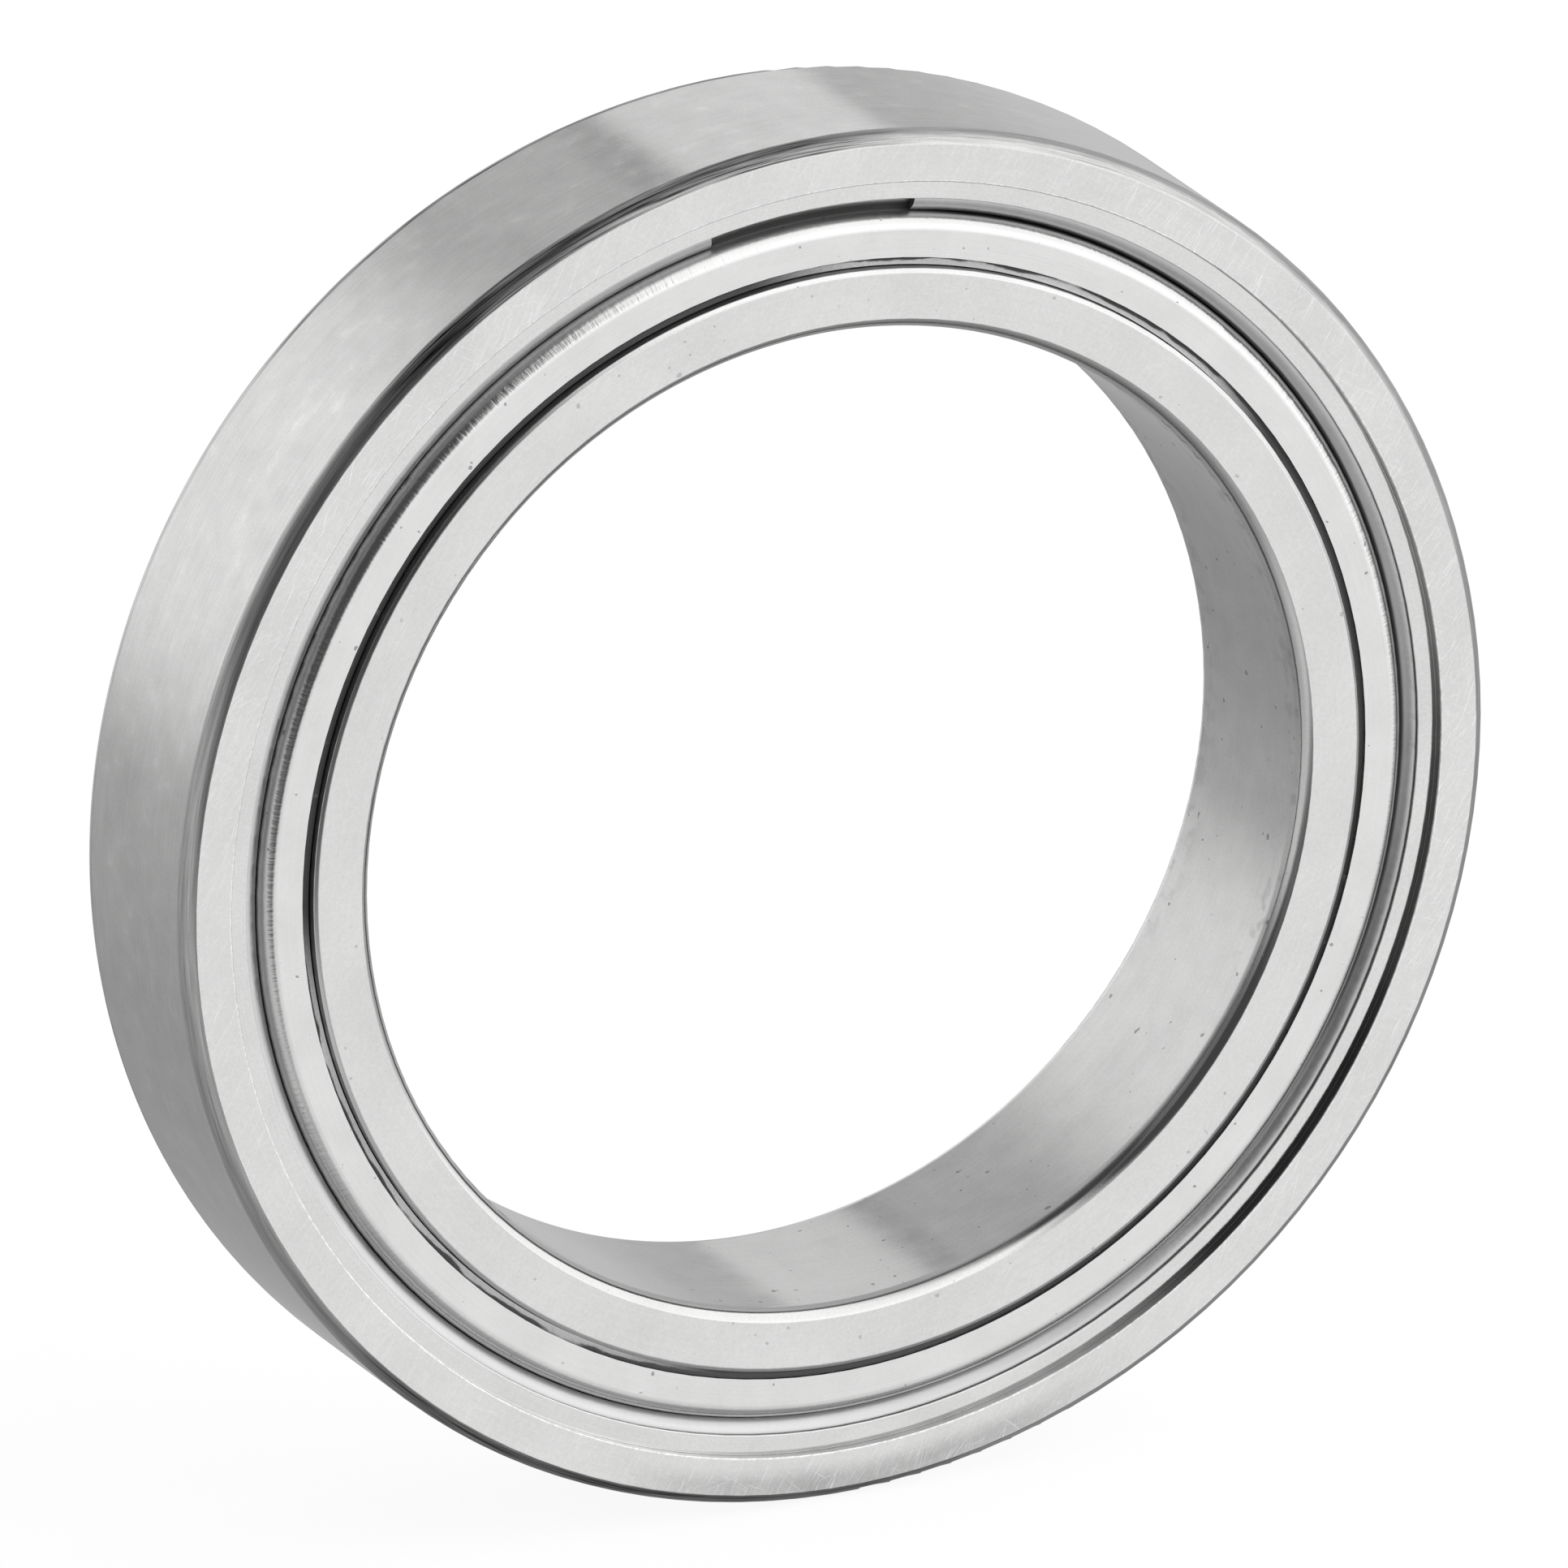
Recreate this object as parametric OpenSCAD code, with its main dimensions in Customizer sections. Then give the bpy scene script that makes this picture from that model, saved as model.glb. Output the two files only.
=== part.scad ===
// Shielded deep groove ball bearing, thin section.
//
// The bearing's axis runs along Y through the origin, which is the centre of the bore at half
// width. The front face looks towards -Y. Every piece is drawn with its axis along local Z and
// its front towards local +Z, and stand_up() turns it into place. Profiles are drawn in [r, z].

/* [Rings] */
// Bore diameter
bore_d = 30; // [29.6:0.1:30.4]
// Outside diameter
outer_d = 42; // [41.6:0.1:42.4]
// Width over the faces of the rings
width = 7; // [6.8:0.1:8]
// Radial size of the outer ring's corner break
outer_corner_r = 0.36; // [0.3:0.02:0.5]
// Axial size of the outer ring's corner break
outer_corner_w = 0.56; // [0.4:0.02:0.7]
// Radial size of the bore's corner break
bore_corner_r = 0.35; // [0.3:0.01:0.5]
// Axial size of the bore's corner break
bore_corner_w = 0.52; // [0.4:0.02:0.7]
// Wall from the bore to the inner ring's shoulder
inner_wall = 1.87; // [1.8:0.01:1.95]
// Wall from the outer ring's shoulder to the outside
outer_wall = 2.25; // [2.2:0.01:2.3]

/* [Face of the outer ring] */
// Width of the ground band on each face, measured inwards from the corner break
face_band = 1.14; // [1:0.01:1.2]
// Depth of the recessed land inside the ground band
land_depth = 0.31; // [0.2:0.01:0.32]
// Wall from the land's inner lip to the outside
lip_wall = 2.1; // [2.08:0.01:2.15]

/* [Balls and races] */
// Ball diameter
ball_d = 3.175; // [3:0.025:3.175]
// Number of balls
ball_count = 22; // [12:1:22]
// Race radius over ball diameter
conformity = 0.52; // [0.515:0.005:0.54]
// Running gap between a ball and the bottom of a race
race_gap = 0.012; // [0.01:0.001:0.03]

/* [Cage] */
// Sheet thickness of the cage
cage_sheet = 0.3; // [0.2:0.01:0.32]
// Gap between a ball and its pocket
pocket_gap = 0.06; // [0.04:0.01:0.08]
// Gap between the cage and the outer ring's shoulder
cage_side_gap = 0.2; // [0.15:0.01:0.25]
// Rivet shank diameter
rivet_d = 0.56; // [0.4:0.02:0.6]
// Rivet head diameter
rivet_head_d = 0.94; // [0.8:0.02:1]

/* [Shields and snap rings] */
// Sheet thickness of a shield
shield_sheet = 0.25; // [0.2:0.01:0.28]
// Depth of a shield's flat below the ring faces
shield_depth = 0.22; // [0.18:0.01:0.28]
// Radial gap between a shield and the inner ring
shield_gap = 0.28; // [0.15:0.01:0.3]
// Height of a shield from its flat to its foot
shield_height = 0.77; // [0.74:0.01:0.8]
// Outer radius of the bend between a shield's flat and its wall
shield_bend = 0.48; // [0.4:0.01:0.5]
// Radial width of a snap ring
snap_w = 0.56; // [0.5:0.01:0.6]
// Thickness of a snap ring
snap_t = 0.3; // [0.27:0.01:0.31]
// How far a snap ring's outward side falls towards its inner edge
snap_fall = 0.24; // [0.1:0.01:0.25]
// Width of the gap in a snap ring, in degrees round the axis
snap_gap = 20; // [12:1:40]
// Middle of the front snap ring's gap, in degrees from +X towards +Z
front_gap_at = 92; // [0:1:359]
// Middle of the rear snap ring's gap, in degrees from +X towards +Z
rear_gap_at = 248; // [0:1:359]

/* [Hidden] */
$fn = 96;
bore_r = bore_d / 2;
outer_r = outer_d / 2;
face_z = width / 2;
pitch_r = (bore_r + outer_r) / 2;
ball_r = ball_d / 2;
race_r = conformity * ball_d;
inner_shoulder_r = bore_r + inner_wall;
outer_shoulder_r = outer_r - outer_wall;
step_r = outer_r - outer_corner_r - face_band;
lip_r = outer_r - lip_wall;
land_z = face_z - land_depth;

// A shield's foot lies on the outer ring's stop, and the snap ring lies on the foot.
shield_top = face_z - shield_depth;
stop_z = shield_top - shield_height;
foot_top = stop_z + shield_sheet;
foot_r = lip_r - 0.04;
shield_inner_r = inner_shoulder_r + shield_gap;
wall_r = lip_r - 0.47;
bend_at = [wall_r - shield_bend, shield_top - shield_bend];
snap_low = foot_top + 0.02;
snap_top = snap_low + snap_t;
snap_inner_r = wall_r + 0.04;
groove_r = snap_inner_r + snap_w + 0.05;

cage_outer_r = outer_shoulder_r - cage_side_gap;
cage_inner_r = 2 * pitch_r - cage_outer_r;
pocket_r = ball_r + pocket_gap;
ball_pitch = 360 / ball_count;
rivet_hole_gap = 0.02;
rivet_head_t = 0.22;

STEEL_RING = "#c9cbcc";
STEEL_BALL = "#dfe1e3";
STEEL_SHEET = "#bfc1c2";
STEEL_WIRE = "#8f9294";
STEEL_CAGE = "#a9a69d";

function ball_name(i) = str("ball_", i < 10 ? "0" : "", i);

// ---- Profile helpers ----

function unit(v) = v / norm(v);

// One corner b of the outline a-b-c, replaced by points on a curve that leaves each side at
// distance d from b, or at under half of the side where it is short.
function soft_corner(a, b, c, d, steps = 4) =
    let (
        reach = min(d, 0.45 * norm(a - b), 0.45 * norm(c - b)),
        from = b + reach * unit(a - b),
        to = b + reach * unit(c - b)
    )
    [
        for (i = [0 : steps])
            let (t = i / steps)
            (1 - t) * (1 - t) * from + 2 * t * (1 - t) * b + t * t * to
    ];

// Outline with softened corners. A corner is [r, z, d], where d is how far its curve reaches.
function soften(corners) =
    let (n = len(corners), p = [for (k = corners) [k[0], k[1]]])
    [
        for (i = [0 : n - 1])
            each corners[i][2] > 0
                ? soft_corner(p[(i + n - 1) % n], p[i], p[(i + 1) % n], corners[i][2])
                : [p[i]]
    ];

// The corners of a profile's front half, followed by their mirror image for the rear half.
function both_halves(front) =
    concat(front, [for (i = [len(front) - 1 : -1 : 0]) [front[i][0], -front[i][1], front[i][2]]]);

// What a rounded break removes at a ring's corner. The arc runs from run_r short of the corner on
// the face to run_w short of it on the cylinder, where it is tangent to the wall. side is 1 on the
// outside and -1 in the bore.
module corner_waste(corner, side, run_r, run_w) {
    on_face = corner - [side * run_r, 0];
    on_wall = corner - [0, run_w];
    bend = (run_r * run_r + run_w * run_w) / (2 * run_r);
    difference() {
        polygon([on_face, on_face + [0, 1], corner + [side, 1], on_wall + [side, 0], on_wall]);
        translate(on_wall - [side * bend, 0]) circle(r = bend);
    }
}

module corner_wastes(at_r, side, run_r, run_w) {
    for (m = [0, 1]) mirror([0, m]) corner_waste([at_r, face_z], side, run_r, run_w);
}

module stand_up() rotate([90, 0, 0]) children();

module round_cage() {
    for (i = [0 : ball_count - 1])
        rotate([0, 0, i * ball_pitch]) translate([pitch_r, 0, 0]) children();
}

// ---- Rings ----

module outer_ring() {
    front = [
        [outer_shoulder_r, 0, 0],
        [outer_shoulder_r, stop_z, 0.05],
        [groove_r, stop_z, 0],
        [groove_r, snap_top + 0.02, 0],
        [lip_r, snap_top + 0.04, 0.03],
        [lip_r, land_z, 0.03],
        [step_r, land_z, 0.02],
        [step_r, face_z, 0.04],
        [outer_r, face_z, 0]
    ];
    color(STEEL_RING) stand_up() rotate_extrude() difference() {
        polygon(soften(both_halves(front)));
        translate([pitch_r + ball_r + race_gap - race_r, 0]) circle(r = race_r);
        corner_wastes(outer_r, 1, outer_corner_r, outer_corner_w);
    }
}

module inner_ring() {
    edge_break = [0.12, 0.06];
    front = [
        [inner_shoulder_r, 0, 0],
        [inner_shoulder_r, face_z - edge_break[1], 0.03],
        [inner_shoulder_r - edge_break[0], face_z, 0.03],
        [bore_r, face_z, 0]
    ];
    color(STEEL_RING) stand_up() rotate_extrude() difference() {
        polygon(soften(both_halves(front)));
        translate([pitch_r - ball_r - race_gap + race_r, 0]) circle(r = race_r);
        corner_wastes(bore_r, -1, bore_corner_r, bore_corner_w);
    }
}

// ---- Balls ----

module ball(i) {
    color(STEEL_BALL) stand_up()
        rotate([0, 0, (i - 1) * ball_pitch]) translate([pitch_r, 0, 0]) sphere(r = ball_r);
}

// ---- Ribbon cage: two pressed halves riveted together between the balls ----

module cage_band(height) {
    difference() {
        cylinder(r = cage_outer_r, h = height);
        translate([0, 0, -1]) cylinder(r = cage_inner_r, h = height + 2);
    }
}

module cage_half() {
    intersection() {
        cage_band(pocket_r + cage_sheet + 1);
        difference() {
            union() {
                cage_band(cage_sheet);
                round_cage() sphere(r = pocket_r + cage_sheet);
            }
            round_cage() sphere(r = pocket_r);
            rotate([0, 0, ball_pitch / 2]) round_cage()
                cylinder(d = rivet_d + 2 * rivet_hole_gap, h = 4, center = true);
        }
    }
}

module cage_front_half() color(STEEL_CAGE) stand_up() cage_half();

module cage_rear_half() color(STEEL_CAGE) stand_up() mirror([0, 0, 1]) cage_half();

module rivet() {
    head_r = rivet_head_d / 2;
    front = [
        [rivet_d / 2, 0, 0],
        [rivet_d / 2, cage_sheet, 0],
        [head_r, cage_sheet, 0],
        [head_r, cage_sheet + rivet_head_t, 0.16],
        [0, cage_sheet + rivet_head_t, 0]
    ];
    rotate_extrude() polygon(soften(concat(front, [[0, 0, 0]])));
    mirror([0, 0, 1]) rotate_extrude() polygon(soften(concat(front, [[0, 0, 0]])));
}

module cage_rivets() color(STEEL_CAGE) stand_up() rotate([0, 0, ball_pitch / 2]) round_cage() rivet();

// ---- Shields: a flat washer that bends down into a wall with a foot ----

module shield_section() {
    translate([shield_inner_r, shield_top - shield_sheet])
        square([bend_at[0] - shield_inner_r, shield_sheet]);
    intersection() {
        translate(bend_at) difference() {
            circle(r = shield_bend);
            circle(r = shield_bend - shield_sheet);
        }
        translate(bend_at) square(shield_bend + 1);
    }
    translate([wall_r - shield_sheet, stop_z]) square([shield_sheet, bend_at[1] - stop_z]);
    translate([wall_r - shield_sheet, stop_z]) square([foot_r - wall_r + shield_sheet, shield_sheet]);
}

module shield() rotate_extrude() shield_section();

module front_shield() color(STEEL_SHEET) stand_up() shield();

module rear_shield() color(STEEL_SHEET) stand_up() mirror([0, 0, 1]) shield();

// ---- Snap rings: C-shaped wires that hold the shields in the outer ring ----

// The outward side is level next to the groove and curves down towards the inner edge.
module snap_section() {
    run = 0.8 * snap_w;
    bend = (run * run + snap_fall * snap_fall) / (2 * snap_fall);
    intersection() {
        translate([snap_inner_r, snap_low]) square([snap_w, snap_t]);
        union() {
            translate([snap_inner_r + run, snap_top - bend]) circle(r = bend);
            translate([snap_inner_r + run, snap_low]) square([snap_w, snap_t]);
        }
    }
}

module snap_ring(gap_at) {
    rotate([0, 0, gap_at + snap_gap / 2]) rotate_extrude(angle = 360 - snap_gap) snap_section();
}

module front_snap_ring() color(STEEL_WIRE) stand_up() snap_ring(front_gap_at);

module rear_snap_ring() color(STEEL_WIRE) stand_up() mirror([0, 0, 1]) snap_ring(rear_gap_at);

outer_ring();
inner_ring();
for (i = [1 : ball_count]) ball(i);
cage_front_half();
cage_rear_half();
cage_rivets();
front_shield();
rear_shield();
front_snap_ring();
rear_snap_ring();
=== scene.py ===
import math

import bpy
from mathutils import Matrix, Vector


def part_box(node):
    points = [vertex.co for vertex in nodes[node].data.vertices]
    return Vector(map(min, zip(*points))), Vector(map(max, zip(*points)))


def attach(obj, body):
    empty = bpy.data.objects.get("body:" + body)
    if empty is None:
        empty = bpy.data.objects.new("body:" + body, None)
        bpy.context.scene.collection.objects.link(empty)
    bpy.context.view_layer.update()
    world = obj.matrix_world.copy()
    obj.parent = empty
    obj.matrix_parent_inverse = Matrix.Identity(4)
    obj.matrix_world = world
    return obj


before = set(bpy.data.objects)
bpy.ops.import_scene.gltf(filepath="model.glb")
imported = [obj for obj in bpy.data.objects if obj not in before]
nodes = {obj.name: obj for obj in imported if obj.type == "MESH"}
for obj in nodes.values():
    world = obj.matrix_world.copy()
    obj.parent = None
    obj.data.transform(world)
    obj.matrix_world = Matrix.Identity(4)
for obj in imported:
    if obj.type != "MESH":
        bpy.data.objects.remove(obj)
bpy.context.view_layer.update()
scene = bpy.context.scene
MM = 0.001

# Sizes of the bearing, in millimetres. The bearing's axis is Y: an _R is a radius from it, and a _Y
# is a height from the middle of the bearing towards a face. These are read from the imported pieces.
ring_lo, ring_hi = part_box("outer_ring")
OUTER_R = ring_hi.x / MM
FACE_Y = ring_hi.y / MM
SHOULDER_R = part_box("inner_ring")[1].x / MM
SHIELD_Y = -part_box("front_shield")[0].y / MM
WIRE_Y = -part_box("front_snap_ring")[0].y / MM

# These repeat the part's driving sizes. A break is how far a rounded corner runs along the radius and
# along the width.
BORE_R = 15.0
OUTER_BREAK = (0.36, 0.56)
BORE_BREAK = (0.35, 0.52)
STEP_R = OUTER_R - OUTER_BREAK[0] - 1.14  # between the ground band and the land
LIP_R = OUTER_R - 2.10  # inner edge of the land
LAND_Y = FACE_Y - 0.31
SHIELD_SHEET, SHIELD_BEND = 0.25, 0.48
SHIELD_INNER_R = SHOULDER_R + 0.28
SHIELD_WALL_R = LIP_R - 0.47  # outside of a shield's wall
BEND_R = SHIELD_WALL_R - SHIELD_BEND  # centre of the bend between its flat and its wall
WIRE_INNER_R = SHIELD_WALL_R + 0.04
WIRE_RUN, WIRE_FALL = 0.448, 0.24  # the curved part of a snap ring's outward side


# ---------------------------------------------------------------- node maths

class Value:
    """A number that varies over a surface: an output socket with arithmetic."""

    def __init__(self, tree, socket):
        self.tree = tree
        self.socket = socket

    def _math(self, operation, *others, clamp=False):
        node = self.tree.nodes.new("ShaderNodeMath")
        node.operation = operation
        node.use_clamp = clamp
        for slot, value in zip(node.inputs, (self, *others)):
            put(self.tree, slot, value)
        return Value(self.tree, node.outputs[0])

    def __add__(self, other):
        return self._math("ADD", other)

    def __radd__(self, other):
        return self._math("ADD", other)

    def __sub__(self, other):
        return self._math("SUBTRACT", other)

    def __rsub__(self, other):
        return (self * -1.0) + other

    def __mul__(self, other):
        return self._math("MULTIPLY", other)

    def __truediv__(self, other):
        return self._math("DIVIDE", other)

    def abs(self):
        return self._math("ABSOLUTE")

    def sign(self):
        return self._math("SIGN")

    def below(self, limit):
        """1 where the number is under the limit, 0 elsewhere."""
        return self._math("LESS_THAN", limit)

    def above(self, limit):
        """1 where the number is over the limit, 0 elsewhere."""
        return self._math("GREATER_THAN", limit)

    def power(self, other):
        return self._math("POWER", other)

    def most(self, other):
        return self._math("MAXIMUM", other)

    def clamped(self):
        return self._math("ADD", 0.0, clamp=True)

    def ramp(self, low, high, to_low=0.0, to_high=1.0):
        """Rises smoothly from to_low at low to to_high at high, and stays flat beyond them."""
        node = self.tree.nodes.new("ShaderNodeMapRange")
        node.interpolation_type = "SMOOTHSTEP"
        put(self.tree, node.inputs["Value"], self)
        node.inputs["From Min"].default_value = low
        node.inputs["From Max"].default_value = high
        node.inputs["To Min"].default_value = to_low
        node.inputs["To Max"].default_value = to_high
        return Value(self.tree, node.outputs["Result"])

    def band(self, low, high, soft):
        """1 between low and high, 0 outside, with soft edges."""
        return self.ramp(low - soft, low + soft) * self.ramp(high - soft, high + soft, 1.0, 0.0)


def put(tree, slot, value):
    """Gives an input slot a number or a colour, or links it to a Value."""
    if isinstance(value, Value):
        tree.links.new(value.socket, slot)
    else:
        slot.default_value = value


def mix(tree, factor, a, b):
    """A colour between a and b. Each is a colour or a Value that holds one."""
    node = tree.nodes.new("ShaderNodeMix")
    node.data_type = "RGBA"
    put(tree, node.inputs["Factor"], factor)
    put(tree, node.inputs[6], a)
    put(tree, node.inputs[7], b)
    return Value(tree, node.outputs[2])


class Surface:
    """A material under construction, metal unless it says otherwise. x, y and z are the position on
    the bearing in millimetres, r is the radius, h the height, cos and sin the angle round the axis."""

    def __init__(self, name):
        self.material = bpy.data.materials.new(name)
        self.material.use_nodes = True
        self.tree = self.material.node_tree
        self.tree.nodes.clear()
        out = self.tree.nodes.new("ShaderNodeOutputMaterial")
        self.shader = self.tree.nodes.new("ShaderNodeBsdfPrincipled")
        self.tree.links.new(self.shader.outputs[0], out.inputs[0])
        self.shader.inputs["Metallic"].default_value = 1.0
        coordinates = self.tree.nodes.new("ShaderNodeTexCoord")
        split = self.tree.nodes.new("ShaderNodeSeparateXYZ")
        self.tree.links.new(coordinates.outputs["Object"], split.inputs[0])
        self.x = Value(self.tree, split.outputs[0]) * (1 / MM)
        self.y = Value(self.tree, split.outputs[1]) * (1 / MM)
        self.z = Value(self.tree, split.outputs[2]) * (1 / MM)
        self.r = (self.x * self.x + self.z * self.z).power(0.5)
        self.h = self.y.abs()
        self.cos = self.x / self.r
        self.sin = self.z / self.r

    def vector(self, x, y, z):
        node = self.tree.nodes.new("ShaderNodeCombineXYZ")
        for slot, value in zip(node.inputs, (x, y, z)):
            put(self.tree, slot, value)
        return node.outputs[0]

    def noise(self, vector, scale, detail):
        node = self.tree.nodes.new("ShaderNodeTexNoise")
        node.inputs["Scale"].default_value = scale
        node.inputs["Detail"].default_value = detail
        self.tree.links.new(vector, node.inputs["Vector"])
        return Value(self.tree, node.outputs[0])

    def cloud(self, scale, detail=3.0, seed=0.0):
        """Soft blotches, scale of them per millimetre."""
        return self.noise(self.vector(self.x + seed, self.y, self.z), scale, detail)

    def turned(self, around, across, seed=0.0):
        """Streaks that follow the turning direction. around is how often they change round the
        bearing, across how often per millimetre along a radius or the axis."""
        lane = (self.y + self.r * 1.3) * across
        return self.noise(self.vector(self.cos * around + seed, self.sin * around, lane), 1.0, 3.0)

    def scratches(self, angle, spacing, length, keep, seed):
        """Fine scratches over a flat face, slightly curved: 1 on a scratch, 0 beside it. angle is in
        degrees, spacing and length in millimetres, and keep is the noise at which one starts."""
        c, s = math.cos(math.radians(angle)), math.sin(math.radians(angle))
        sway = (self.noise(self.vector(self.x + seed, self.y, self.z), 0.4, 1.0) - 0.5) * 0.8
        along = self.x * c + self.z * s
        over = self.z * c - self.x * s + sway
        lines = self.noise(self.vector(along / length + seed, over / spacing, self.y), 1.0, 1.0)
        return lines.ramp(keep, keep + 0.14)

    def hairlines(self, seed):
        """Scratches at several angles, as handling leaves them on a ground face."""
        lines = self.scratches(52, 0.030, 1.0, 0.60, seed)
        lines = lines.most(self.scratches(66, 0.035, 1.3, 0.62, seed + 8.0))
        lines = lines.most(self.scratches(-30, 0.035, 0.9, 0.65, seed + 19.0) * 0.7)
        return lines.most(self.scratches(12, 0.035, 1.2, 0.66, seed + 27.0) * 0.7)

    def facing(self, angle):
        """Cosine of the angle round the axis from a direction, given in degrees from +X to +Z."""
        c, s = math.cos(math.radians(angle)), math.sin(math.radians(angle))
        return self.cos * c + self.sin * s

    def arc(self, start, end, soft=4.0):
        """1 on the part of the bearing between two angles in degrees, 0 elsewhere."""
        half = (end - start) / 2
        at = self.facing((start + end) / 2)
        return at.ramp(math.cos(math.radians(min(180.0, half + soft))),
                       math.cos(math.radians(max(0.0, half - soft))))

    def bump(self, height, strength, distance_mm):
        node = self.tree.nodes.new("ShaderNodeBump")
        node.inputs["Strength"].default_value = strength
        node.inputs["Distance"].default_value = distance_mm * MM
        put(self.tree, node.inputs["Height"], height)
        self.tree.links.new(node.outputs[0], self.shader.inputs["Normal"])

    def finish(self, colour, roughness):
        put(self.tree, self.shader.inputs["Base Color"], colour)
        put(self.tree, self.shader.inputs["Roughness"], roughness)
        return self.material


def grey(value, warm=0.0):
    return (value * (1 + warm), value, value * (1 - warm), 1.0)


# ---------------------------------------------------------------- shading of turned pieces

def corner_arc(corner_r, side, run_r, run_w):
    """The rounded break at a ring's corner, tangent to its cylinder, as Shading.follow takes it."""
    bend = (run_r * run_r + run_w * run_w) / (2 * run_r)
    return corner_r - side * bend, FACE_Y - run_w, bend, 1, "flat"


class Shading:
    """Geometry nodes that light a turned piece by its designed surface instead of by its flat
    triangles. They move no point. refine is how often each triangle is divided first, so that long
    thin ones carry the normals evenly."""

    # How far in millimetres a point may lie from its arc. A divided triangle is flat, so its new
    # points lie further off.
    NEAR, NEAR_REFINED = 0.004, 0.03
    # How straight a face has to look along the axis, out from it or round it to keep its normal.
    STRAIGHT, ROUND_THE_AXIS = 0.9998, 0.98

    def __init__(self, name, refine):
        self.tree = bpy.data.node_groups.new(name, "GeometryNodeTree")
        self.refine = refine
        for way in ("INPUT", "OUTPUT"):
            self.tree.interface.new_socket("Geometry", in_out=way, socket_type="NodeSocketGeometry")
        position = self.tree.nodes.new("GeometryNodeInputPosition").outputs[0]
        normal = self.tree.nodes.new("GeometryNodeInputNormal").outputs["True Normal"]
        x, self.y, z = (part * (1 / MM) for part in self.parts(position))
        self.r = (x * x + z * z).power(0.5)
        self.cos, self.sin = x / self.r, z / self.r
        face_x, _, face_z = self.parts(self.of_face(position))
        face_r = (face_x * face_x + face_z * face_z).power(0.5)
        self.face_normal = self.parts(self.of_face(normal))
        slope = self.face_normal
        self.out_part = (slope[0] * face_x + slope[2] * face_z) / face_r
        self.up_part = slope[1]
        self.side_part = ((slope[2] * face_x - slope[0] * face_z) / face_r).abs()

    def parts(self, vector):
        node = self.tree.nodes.new("ShaderNodeSeparateXYZ")
        self.tree.links.new(vector, node.inputs[0])
        return [Value(self.tree, socket) for socket in node.outputs]

    def of_face(self, field):
        node = self.tree.nodes.new("GeometryNodeFieldOnDomain")
        node.data_type = "FLOAT_VECTOR"
        node.domain = "FACE"
        self.tree.links.new(field, node.inputs[0])
        return node.outputs[0]

    def follow(self, arc_r, arc_y, bend, side=1, leave=None):
        """Corners that lie on an arc of the profile take the arc's own slope. The arc has its
        centre at arc_r, arc_y and the radius bend. side is -1 where the metal lies outside the arc.
        leave says which faces beside the arc keep their normal: "flat" ones, which look along the
        axis, or "round" ones, which look straight out from it."""
        dr = self.r - arc_r
        dy = self.y.abs() - arc_y
        far = (dr * dr + dy * dy).power(0.5)
        on_arc = (far - bend).abs().below(self.NEAR_REFINED if self.refine else self.NEAR)
        out_part, up_part = dr / far * side, dy * self.y.sign() / far * side
        if leave:
            beside = {"flat": self.up_part, "round": self.out_part}[leave]
            on_arc = on_arc * beside.abs().below(self.STRAIGHT)
        self.out_part = self.out_part + on_arc * (out_part - self.out_part)
        self.up_part = self.up_part + on_arc * (up_part - self.up_part)

    def apply(self, piece):
        """Puts the normals on a piece. Faces that look round the axis, such as the ends of a snap
        ring, keep their own."""
        ends = self.side_part.above(self.ROUND_THE_AXIS)
        turned = (self.cos * self.out_part, self.up_part, self.sin * self.out_part)
        join = self.tree.nodes.new("ShaderNodeCombineXYZ")
        for slot, smooth, own in zip(join.inputs, turned, self.face_normal):
            put(self.tree, slot, smooth + ends * (own - smooth))
        start = self.tree.nodes.new("NodeGroupInput")
        end = self.tree.nodes.new("NodeGroupOutput")
        shade = self.tree.nodes.new("GeometryNodeSetMeshNormal")
        shade.mode = "FREE"
        shade.domain = "CORNER"
        finer = self.tree.nodes.new("GeometryNodeSubdivideMesh")
        finer.inputs["Level"].default_value = self.refine
        self.tree.links.new(start.outputs[0], finer.inputs["Mesh"])
        self.tree.links.new(finer.outputs[0], shade.inputs["Mesh"])
        self.tree.links.new(join.outputs[0], shade.inputs["Custom Normal"])
        self.tree.links.new(shade.outputs[0], end.inputs[0])
        modifier = piece.modifiers.new("true_slope", "NODES")
        modifier.node_group = self.tree


# The arcs in each piece's profile, as Shading.follow takes them.
bend_centre = (BEND_R, SHIELD_Y - SHIELD_BEND)
wire_bend = (WIRE_RUN * WIRE_RUN + WIRE_FALL * WIRE_FALL) / (2 * WIRE_FALL)
arcs = {
    "outer_ring": [corner_arc(OUTER_R, 1, *OUTER_BREAK)],
    "inner_ring": [corner_arc(BORE_R, -1, *BORE_BREAK)],
    "shield": [(*bend_centre, SHIELD_BEND), (*bend_centre, SHIELD_BEND - SHIELD_SHEET, -1)],
    "snap_ring": [(WIRE_INNER_R + WIRE_RUN, WIRE_Y - wire_bend, wire_bend, 1, "round")],
}
WIRE_REFINE = 2  # a snap ring's triangles are long and thin

for name, piece in nodes.items():
    for key, bends in arcs.items():
        if key in name:
            shading = Shading(name + "_shading", WIRE_REFINE if key == "snap_ring" else 0)
            for bend in bends:
                shading.follow(*bend)
            shading.apply(piece)


# ---------------------------------------------------------------- materials
#
# In each material the masks come first, by radius, height and angle, then the patterns, and then
# tone (how much light the metal returns), rough (its roughness) and the bump of its surface.

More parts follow.
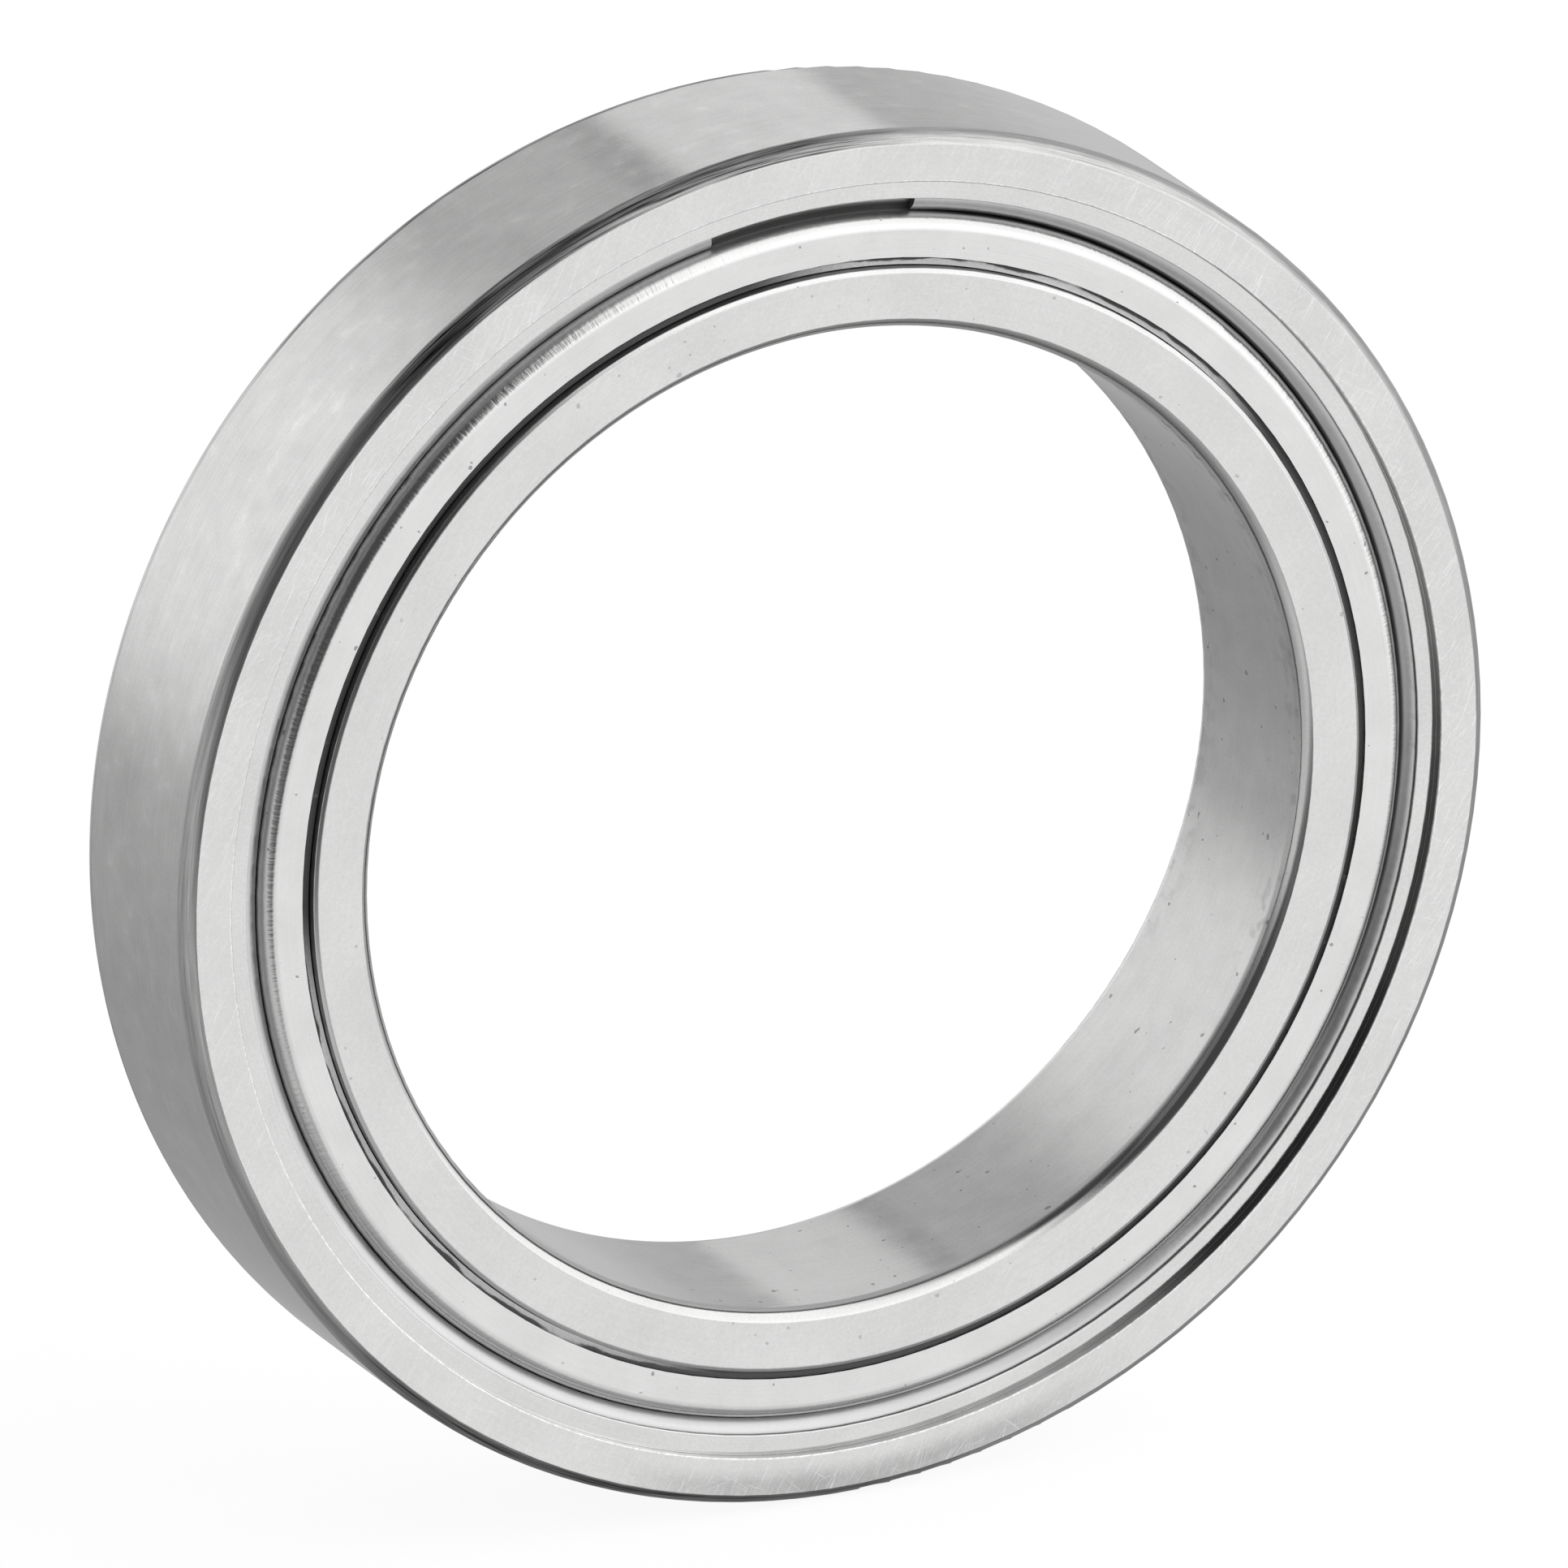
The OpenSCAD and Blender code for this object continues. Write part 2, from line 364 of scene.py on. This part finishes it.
def outer_ring_steel():
    """Ground on the wall and the band of each face, as turned elsewhere, with painted shade in the
    step and the groove.
    """
    s = Surface("outer_ring_steel")
    wall = s.r.ramp(OUTER_R - 0.03, OUTER_R - 0.01)
    face = s.h.ramp(FACE_Y - 0.02, FACE_Y - 0.005) * s.r.ramp(STEP_R - 0.02, STEP_R + 0.02)
    corner_r, corner_y = OUTER_R - OUTER_BREAK[0], FACE_Y - OUTER_BREAK[1]
    corner = s.r.ramp(corner_r - 0.04, corner_r + 0.02) * s.h.ramp(corner_y - 0.04, corner_y + 0.02)
    corner = corner * s.h.ramp(FACE_Y, FACE_Y - 0.02)
    step = s.r.band(STEP_R - 0.04, STEP_R + 0.03, 0.02) * s.h.ramp(LAND_Y - 0.01, LAND_Y + 0.01)
    step = step * s.h.ramp(FACE_Y - 0.03, FACE_Y - 0.05)
    # The top edge of the step, which carries a painted highlight.
    step_edge = s.r.band(STEP_R - 0.01, STEP_R + 0.06, 0.01)
    step_edge = step_edge * s.h.ramp(FACE_Y - 0.05, FACE_Y - 0.02)
    # Painted shade down in the groove under the land; the lip's wall is left out of it.
    inside = s.h.ramp(LAND_Y - 0.02, LAND_Y - 0.09) * s.r.ramp(corner_r - 0.04, corner_r - 0.14)
    lip_wall = s.r.ramp(LIP_R + 0.05, LIP_R + 0.02) * s.h.band(LAND_Y - 0.14, LAND_Y - 0.01, 0.01)
    streaks = s.turned(2.0, 7.0)
    fine = s.turned(4.0, 30.0, seed=7.0)
    coarse = s.turned(9.0, 15.0, seed=33.0)
    blotch = s.cloud(0.35, 4.0, seed=3.0)
    rubbed = s.cloud(1.1, 6.0, seed=61.0)
    grain = s.cloud(13.0, 3.0, seed=15.0)
    # Noise that makes the painted highlight on the step's edge ragged.
    ragged_glint = s.cloud(9.0, 2.0, seed=71.0)
    # A darker patch on the band of the face near the bottom, with more scratches in it.
    dark_patch = s.r.ramp(STEP_R + 0.2, STEP_R + 0.9) * s.arc(256, 288, 8.0) * face
    dark_patch = dark_patch * (0.5 + s.cloud(0.7, 3.0, 52.0))
    specks = s.cloud(6.0, 1.0, seed=11.0).ramp(0.79, 0.83)
    # Two darker arcs on the corner break: grime in its turning marks near the top, painted shade near
    # the bottom.
    grime_and_painted_shade = s.arc(88, 134, 6.0).most(s.arc(226, 278, 8.0))
    # Painted shade on the step's wall, deeper along an arc from the bottom round the right.
    painted_shade_arc = s.arc(256, 404, 12.0) * (0.6 + s.cloud(1.4, 3.0, seed=91.0) * 0.8)
    rub_marks = rubbed.ramp(0.60, 0.75) * wall
    busy = s.arc(-40, 65, 20.0).most(s.arc(118, 165, 12.0))
    hair = s.hairlines(seed=1.0) * (face + wall * 0.1) * (0.5 + dark_patch + busy * 0.5)
    tone = (0.61 + (streaks - 0.5) * 0.05 * wall + (fine - 0.5) * (0.08 + wall * 0.10)
            + (blotch - 0.5) * 0.12 + (rubbed - 0.5) * 0.16 * wall + rub_marks * 0.05
            + (grain - 0.5) * 0.12 + hair * 0.12 - specks * 0.10 - dark_patch * 0.20
            + step_edge * (ragged_glint - 0.35) * 0.5)
    # Painted shade down in the groove under the land and on the step's wall.
    tone = tone * (1.0 - inside * (0.36 - lip_wall * 0.36)) * (1.0 - step * (0.15 + painted_shade_arc * 0.33))
    # The corner break is darker all round, as unground oxide is, and more so along those two arcs.
    tone = tone * (1.0 - corner * (0.20 + grime_and_painted_shade * 0.46 + (coarse - 0.5) * (1.0 + grime_and_painted_shade * 0.8)))
    shade = mix(s.tree, tone.clamped(), grey(0.0), grey(1.0, 0.004))
    rough = (0.11 + face * 0.21 + corner * 0.20 + lip_wall * 0.45 + (blotch - 0.5) * 0.06
             + (rubbed - 0.5) * 0.12 * wall + (fine - 0.5) * 0.06 - hair * 0.06 + inside * 0.24
             + specks * 0.1).clamped()
    s.bump(fine * 0.4 + rubbed * 0.15 * wall + coarse * corner * 0.8 + grain * 0.4 - hair * 0.5
           - specks * 0.8, 0.2, 0.008)
    return s.finish(shade, rough)


def inner_ring_steel():
    """Ground on the faces and in the bore, with a stain in the bore and painted shade on the shoulder
    beside the shield.
    """
    s = Surface("inner_ring_steel")
    face = s.h.ramp(FACE_Y - 0.02, FACE_Y - 0.005)
    bore = s.r.ramp(BORE_R + 0.06, BORE_R + 0.02)
    # Painted shade on the side of the shoulder, down in the gap beside the shield.
    back = s.r.ramp(SHOULDER_R - 0.07, SHOULDER_R - 0.01) * s.h.ramp(FACE_Y - 0.05, FACE_Y - 0.10)
    streaks = s.turned(2.0, 7.0, seed=2.0)
    fine = s.turned(4.0, 28.0, seed=13.0)
    blotch = s.cloud(0.35, 4.0, seed=31.0)
    rubbed = s.cloud(1.1, 6.0, seed=67.0)
    grain = s.cloud(13.0, 3.0, seed=25.0)
    stain = s.cloud(1.6, 5.0, seed=83.0).ramp(0.50, 0.64) * bore
    stain = stain * s.h.ramp(FACE_Y - 1.8, FACE_Y - 0.6) * s.arc(-30, 64, 8.0)
    specks = s.cloud(3.2, 1.0, seed=17.0).ramp(0.745, 0.775)
    hair = s.hairlines(seed=40.0) * (face * 0.5 + bore * 0.1)
    tone = (0.61 + (streaks - 0.5) * 0.05 * bore + (fine - 0.5) * 0.08 + (blotch - 0.5) * 0.12
            + (rubbed - 0.5) * 0.12 * bore + (grain - 0.5) * 0.12 + hair * 0.07
            - specks * (0.14 + bore * 0.16))
    tone = tone * (1.0 - back * 0.35) * (1.0 - bore * 0.10) * (1.0 - stain * 0.16)
    shade = mix(s.tree, tone.clamped(), grey(0.0), grey(1.0, 0.004))
    rough = (0.13 + face * 0.19 + (blotch - 0.5) * 0.06 + (rubbed - 0.5) * 0.12 * bore
             + (fine - 0.5) * 0.08 - hair * 0.06 + specks * 0.1 + stain * 0.14
             + back * 0.3).clamped()
    s.bump(fine * 0.4 + rubbed * 0.3 * bore + grain * 0.3 - hair * 0.5 - specks * 0.8, 0.2, 0.008)
    return s.finish(shade, rough)


def shield_steel():
    """Pressed sheet, drawn at the bend, with painted shade where its wall goes down beside the snap
    ring and on its foot.
    """
    s = Surface("shield_steel")
    foot = s.r.ramp(SHIELD_WALL_R + 0.01, SHIELD_WALL_R + 0.04)
    foot = foot * s.h.ramp(SHIELD_Y - 0.33, SHIELD_Y - 0.43)
    bent = s.r.ramp(BEND_R + 0.03, BEND_R + 0.17)
    side = s.r.ramp(SHIELD_WALL_R - 0.19, SHIELD_WALL_R - 0.05)
    crevice = s.r.ramp(SHIELD_WALL_R - 0.07, SHIELD_WALL_R - 0.01)
    crevice = crevice * s.h.ramp(SHIELD_Y - 0.24, SHIELD_Y - 0.34)
    blotch = s.cloud(0.6, seed=41.0)
    grain = s.cloud(9.0, 3.0, seed=5.0)
    drag = s.noise(s.vector(s.cos * 170.0, s.sin * 170.0, s.h * 4.0), 1.0, 3.0)
    fine = s.turned(5.0, 24.0, seed=23.0)
    specks = s.cloud(3.6, 1.0, seed=8.0).ramp(0.745, 0.775)
    # Painted shade on the wall beside the snap ring along an arc, and on the foot down in the groove.
    painted_shade_arc = crevice * s.arc(-20, 80, 4.0) * 0.72
    tone = (0.63 + (grain - 0.5) * 0.05 + (blotch - 0.5) * 0.12 + (fine - 0.5) * 0.08
            - specks * 0.26) * (1.0 - painted_shade_arc.most(foot * 0.35))
    shade = mix(s.tree, tone.clamped(), grey(0.0), grey(1.0, 0.004))
    rough = (0.27 - bent * 0.08 + side * 0.24 + (grain - 0.5) * 0.08 + (blotch - 0.5) * 0.08
             + specks * 0.2).clamped()
    s.bump(grain * 0.08 + fine * 0.3 + drag * bent * 3.0 - specks, 0.3, 0.012)
    return s.finish(shade, rough)


def snap_steel():
    """Wire, duller than the sheet, with painted shade along an arc where it lies against the shield.
    """
    s = Surface("snap_steel")
    fine = s.turned(6.0, 22.0, seed=3.0)
    grain = s.cloud(7.0, 2.0, seed=2.0)
    blotch = s.cloud(0.7, 3.0, seed=47.0)
    crevice = s.r.ramp(WIRE_INNER_R + 0.13, WIRE_INNER_R + 0.03)
    crevice = crevice * s.h.ramp(WIRE_Y - 0.09, WIRE_Y - 0.18)
    tone = 0.56 + (fine - 0.5) * 0.10 + (grain - 0.5) * 0.10 + (blotch - 0.5) * 0.14
    # Painted shade along an arc where the wire lies against the shield.
    tone = tone * (1.0 - crevice * s.arc(-30, 80, 8.0) * 0.66)
    shade = mix(s.tree, tone.clamped(), grey(0.0), grey(1.0))
    rough = (0.40 + crevice * 0.25 + (grain - 0.5) * 0.12 + (blotch - 0.5) * 0.08).clamped()
    s.bump(fine * 0.2 + grain * 0.4, 0.25, 0.008)
    return s.finish(shade, rough)


def grease_film_look():
    """Dark and glossy, with pale residue where it has dried."""
    s = Surface("grease")
    s.shader.inputs["Metallic"].default_value = 0.0
    smeared = s.noise(s.vector(s.cos * 12.0, s.sin * 12.0, s.r * 2.5), 1.0, 5.0)
    near_ring = s.r.ramp(SHIELD_INNER_R - 0.03, SHOULDER_R + 0.05)
    dried = ((smeared - 0.5) * 1.1 + near_ring * 0.5).ramp(0.06, 0.26)
    dried = dried * s.arc(42, 92, 8.0).most(s.arc(188, 250, 8.0))
    dots = s.cloud(2.6, 3.0, 14.0).ramp(0.64, 0.74)
    pale = dried.most(dots * 0.12)
    grain = s.cloud(8.0, 3.0, 44.0)
    shade = mix(s.tree, pale * (0.7 + grain * 0.6), grey(0.05), grey(0.85))
    rough = (0.40 + pale * 0.35 + (grain - 0.5) * 0.2).clamped()
    s.bump(grain * 0.5 + dried * 0.8, 0.4, 0.03)
    return s.finish(shade, rough)


def cage_steel():
    """Dull pressed sheet, for the cage and its rivets."""
    s = Surface("cage_steel")
    grain = s.cloud(5.0, 3.0, seed=9.0)
    blotch = s.cloud(0.8, seed=19.0)
    tone = 0.46 + (grain - 0.5) * 0.14 + (blotch - 0.5) * 0.16
    shade = mix(s.tree, tone.clamped(), grey(0.0), grey(1.0, 0.03))
    rough = (0.38 + (grain - 0.5) * 0.2).clamped()
    s.bump(grain, 0.3, 0.01)
    return s.finish(shade, rough)


def ball_steel():
    """Polished."""
    s = Surface("ball_steel")
    grain = s.cloud(3.0, 3.0, seed=29.0)
    tone = 0.66 + (grain - 0.5) * 0.06
    shade = mix(s.tree, tone.clamped(), grey(0.0), grey(1.0))
    rough = (0.07 + (grain - 0.5) * 0.06).clamped()
    s.bump(grain, 0.05, 0.004)
    return s.finish(shade, rough)


steels = {
    "outer_ring": outer_ring_steel(),
    "inner_ring": inner_ring_steel(),
    "ball": ball_steel(),
    "cage": cage_steel(),
    "shield": shield_steel(),
    "snap_ring": snap_steel(),
}


def steel_for(name):
    """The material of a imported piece, from the part of its name that says what it is."""
    for key, material in steels.items():
        if key in name:
            return material
    raise KeyError(name)


for name, piece in nodes.items():
    piece.data.materials.clear()
    piece.data.materials.append(steel_for(name))


# ---------------------------------------------------------------- grease

def grease_film(name, side, look):
    """A thin uneven film between a shield and the inner ring. side is -1 in front and 1 behind."""
    inner, outer = SHOULDER_R + 0.03, SHIELD_INNER_R - 0.005
    depth, sag = 0.12, 0.05
    around, across = 360, 4
    points, faces = [], []
    for i in range(around):
        turn = 2 * math.pi * i / around
        wave = 0.015 * math.sin(7 * turn) + 0.012 * math.sin(17 * turn + 1.0)
        for j in range(across):
            share = j / (across - 1)
            r = inner + (outer - inner) * share
            h = SHIELD_Y - depth - sag * math.sin(math.pi * share) + wave
            points.append((r * math.cos(turn) * MM, side * h * MM, r * math.sin(turn) * MM))
    for i in range(around):
        here, there = i * across, (i + 1) % around * across
        for j in range(across - 1):
            quad = (here + j, here + j + 1, there + j + 1, there + j)
            faces.append(quad if side < 0 else quad[::-1])
    mesh = bpy.data.meshes.new(name)
    mesh.from_pydata(points, [], faces)
    mesh.shade_smooth()
    film = bpy.data.objects.new(name, mesh)
    scene.collection.objects.link(film)
    mesh.materials.append(look)
    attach(film, "outer")


grease = grease_film_look()
grease_film("grease_front", -1, grease)
grease_film("grease_rear", 1, grease)


# ---------------------------------------------------------------- studio

def floor():
    """A pale sheet that the bearing stands on. Its light isn't mirrored in the metal."""
    half = 2.0
    mesh = bpy.data.meshes.new("floor")
    z = ring_lo.z
    corners = [(-half, -half, z), (half, -half, z), (half, half, z), (-half, half, z)]
    mesh.from_pydata(corners, [], [(0, 1, 2, 3)])
    sheet = bpy.data.objects.new("floor", mesh)
    scene.collection.objects.link(sheet)
    material = bpy.data.materials.new("pale_sheet")
    material.use_nodes = True
    shader = material.node_tree.nodes["Principled BSDF"]
    shader.inputs["Base Color"].default_value = (0.16, 0.16, 0.16, 1)
    shader.inputs["Roughness"].default_value = 0.9
    shader.inputs["Specular IOR Level"].default_value = 0.0
    shader.inputs["Emission Color"].default_value = (1, 1, 1, 1)
    shader.inputs["Emission Strength"].default_value = 0.90
    mesh.materials.append(material)
    sheet.visible_glossy = False


# Round soft panels in the surroundings, which the metal mirrors. Each is the direction in which it
# stands, the angles in degrees from there at which it is full and gone, and how much light it adds,
# or takes away where that is negative.
PANELS = (
    # In front, low.
    ((0.10, -0.93, -0.35), 24, 70, 0.30),
    ((0.42, -0.84, -0.34), 12, 34, 0.32),
    # The main light, to the right.
    ((0.60, -0.58, 0.55), 32, 58, 0.85),
    # Behind. The third has a sharp edge, which crosses the wall of the outer ring.
    ((-0.458, 0.849, 0.264), 2, 27, 0.50),
    ((0.490, 0.849, -0.20), 2, 18, 0.05),
    ((0.361, 0.849, 0.387), 8.9, 9.8, 0.30),
    ((0.0, 1.0, 0.0), 10, 28, 0.45),
    # To the left, low.
    ((-0.80, -0.50, -0.25), 16, 44, 0.20),
    # Dark ones: in front, behind, to the left, above and below.
    ((-0.41, -0.90, 0.16), 20, 42, -0.82),
    ((0.181, 0.849, 0.497), 0.8, 2.4, -0.16),
    ((-0.72, -0.22, 0.66), 22, 46, -0.42),
    ((-0.10, -0.10, 0.99), 14, 36, -0.30),
    ((0.0, -0.38, -0.92), 14, 44, -0.17),
)
LEAST_LIGHT = 0.08


def panel(tree, direction, aim, full, gone, level):
    """The light of one of the PANELS."""
    node = tree.nodes.new("ShaderNodeVectorMath")
    node.operation = "DOT_PRODUCT"
    tree.links.new(direction, node.inputs[0])
    node.inputs[1].default_value = Vector(aim).normalized()
    lit = Value(tree, node.outputs["Value"])
    return lit.ramp(math.cos(math.radians(gone)), math.cos(math.radians(full)), 0.0, level)


def studio():
    """Soft surroundings, a little darker below than above, with the panels in them."""
    world = bpy.data.worlds.new("studio")
    scene.world = world
    world.use_nodes = True
    tree = world.node_tree
    tree.nodes.clear()
    out = tree.nodes.new("ShaderNodeOutputWorld")
    background = tree.nodes.new("ShaderNodeBackground")
    tree.links.new(background.outputs[0], out.inputs[0])
    coordinates = tree.nodes.new("ShaderNodeTexCoord")
    way = coordinates.outputs["Generated"]
    split = tree.nodes.new("ShaderNodeSeparateXYZ")
    tree.links.new(way, split.inputs[0])
    up = Value(tree, split.outputs[2])
    light = up.ramp(-0.60, -0.02, 0.40, 0.62)
    for aim, full, gone, level in PANELS:
        light = light + panel(tree, way, aim, full, gone, level)
    light = light.most(LEAST_LIGHT)
    put(tree, background.inputs["Strength"], light)
    background.inputs["Color"].default_value = (1, 1, 1, 1)


def camera():
    """Looks at the bearing from the front left, a little above it, from far off."""
    azimuth, elevation = math.radians(-25.6), math.radians(19.8)
    distance, view_width = 1.68, 45.68 * MM
    towards = Vector((math.sin(azimuth) * math.cos(elevation),
                      -math.cos(azimuth) * math.cos(elevation), math.sin(elevation)))
    right = (-towards).cross(Vector((0, 0, 1))).normalized()
    up = right.cross(-towards)
    aim = right * -0.10 * MM + up * 0.04 * MM
    data = bpy.data.cameras.new("camera")
    item = bpy.data.objects.new("camera", data)
    scene.collection.objects.link(item)
    item.location = aim + towards * distance
    item.rotation_euler = (-towards).to_track_quat("-Z", "Y").to_euler()
    data.sensor_width = 36.0
    data.lens = data.sensor_width * distance / view_width
    data.clip_start, data.clip_end = 0.1, 20.0
    scene.camera = item


floor()
studio()
camera()
scene.view_settings.view_transform = "Standard"
